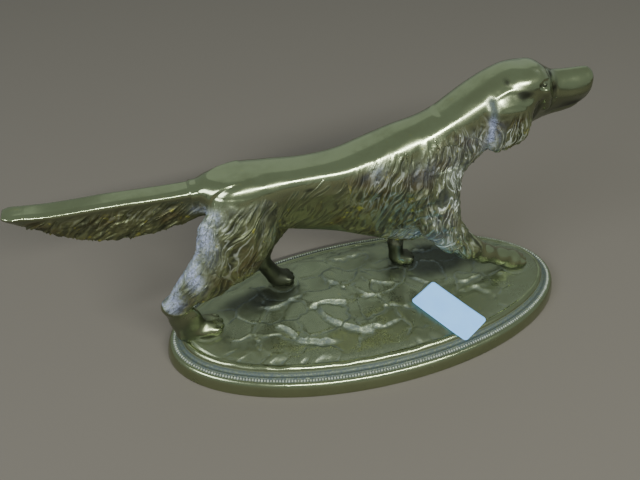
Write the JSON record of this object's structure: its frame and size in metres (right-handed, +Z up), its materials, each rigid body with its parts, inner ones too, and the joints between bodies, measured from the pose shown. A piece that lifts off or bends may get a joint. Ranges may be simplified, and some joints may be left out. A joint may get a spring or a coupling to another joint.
{
  "type": "hood ornament",
  "caption": "Cast brass setter on point with a long feathered tail, standing on a hollow oval plinth with a beaded edge and rocky ground, with tapped bosses underneath.",
  "frame": {"origin": "centre of the plinth's foot, midway between the two hood bolt holes", "axes": "+X forwards, towards the dog's nose; +Y towards the dog's left; +Z up"},
  "size_m": [0.2921, 0.11, 0.1439],
  "materials": {
    "dog_brass": "aged polished brass, dark in the hair",
    "plinth_brass": "aged polished brass, dark in the hollows",
    "fixing_steel": "dull zinc-plated steel",
    "label_paper": "matt white paper label, blank"
  },
  "bodies": {
    "root": {"plinth": "plinth_brass", "torso": "dog_brass", "head": "dog_brass", "tail": "dog_brass", "right_fore_leg": "dog_brass", "left_fore_leg": "dog_brass", "right_hind_leg": "dog_brass", "left_hind_leg": "dog_brass", "neck_dowel": "fixing_steel", "tail_dowel": "fixing_steel", "shoulder_dowels": "fixing_steel", "hip_dowels": "fixing_steel", "paw_studs": "fixing_steel", "paw_washers": "fixing_steel", "paw_nuts": "fixing_steel", "front_hood_boss": "plinth_brass", "rear_hood_boss": "plinth_brass", "label": "label_paper"}
  },
  "joints": []
}
